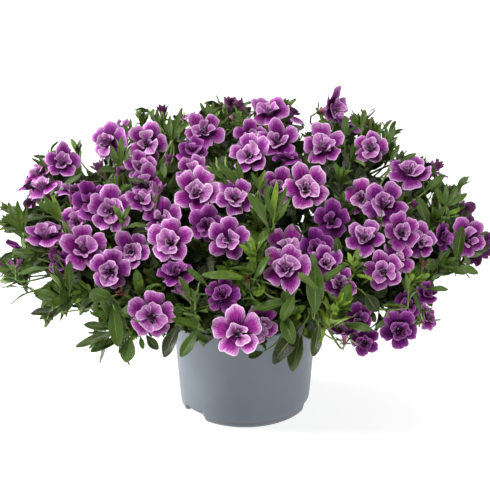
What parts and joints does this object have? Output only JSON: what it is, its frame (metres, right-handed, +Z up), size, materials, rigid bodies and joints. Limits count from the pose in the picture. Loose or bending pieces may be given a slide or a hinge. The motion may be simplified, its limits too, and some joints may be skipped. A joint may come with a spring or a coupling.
{
  "type": "potted calibrachoa",
  "caption": "Mounded calibrachoa with double purple blooms on leafy stems, growing in a plain round nursery pot.",
  "frame": {"origin": "on the pot's axis, at the plane its foot stands on", "axes": "+Z up along the pot's axis, +X to the right of the plant's front, -Y towards the front"},
  "size_m": [0.3938, 0.3741, 0.2489],
  "materials": {
    "pot": "satin blue-grey moulded plastic",
    "soil": "damp crumbled potting mix",
    "foliage": "matte, finely hairy leaves and stems",
    "petals": "soft petals, purple with pale margins"
  },
  "bodies": {
    "root": {"pot": "pot", "soil": "soil", "stem_01": "foliage", "stem_02": "foliage", "stem_03": "foliage", "stem_04": "foliage", "stem_05": "foliage", "stem_06": "foliage", "stem_07": "foliage", "stem_08": "foliage", "stem_09": "foliage", "stem_10": "foliage", "stem_11": "foliage", "stem_12": "foliage", "stem_13": "foliage", "stem_14": "foliage", "stem_15": "foliage", "stem_16": "foliage", "spray_01": "petals", "spray_02": "petals", "spray_03": "petals", "spray_04": "petals", "spray_05": "petals", "spray_06": "petals", "spray_07": "petals", "spray_08": "petals", "spray_09": "petals", "spray_10": "petals", "spray_11": "petals", "spray_12": "petals", "spray_13": "petals", "spray_14": "petals", "spray_15": "petals", "spray_16": "petals", "spray_17": "petals", "spray_18": "petals", "spray_19": "petals", "spray_20": "petals", "spray_21": "petals", "spray_22": "petals", "spray_23": "petals", "spray_24": "petals", "spray_25": "petals", "spray_26": "petals", "spray_27": "petals", "spray_28": "petals", "spray_29": "petals", "spray_30": "petals", "spray_31": "petals", "spray_32": "petals"}
  },
  "joints": []
}
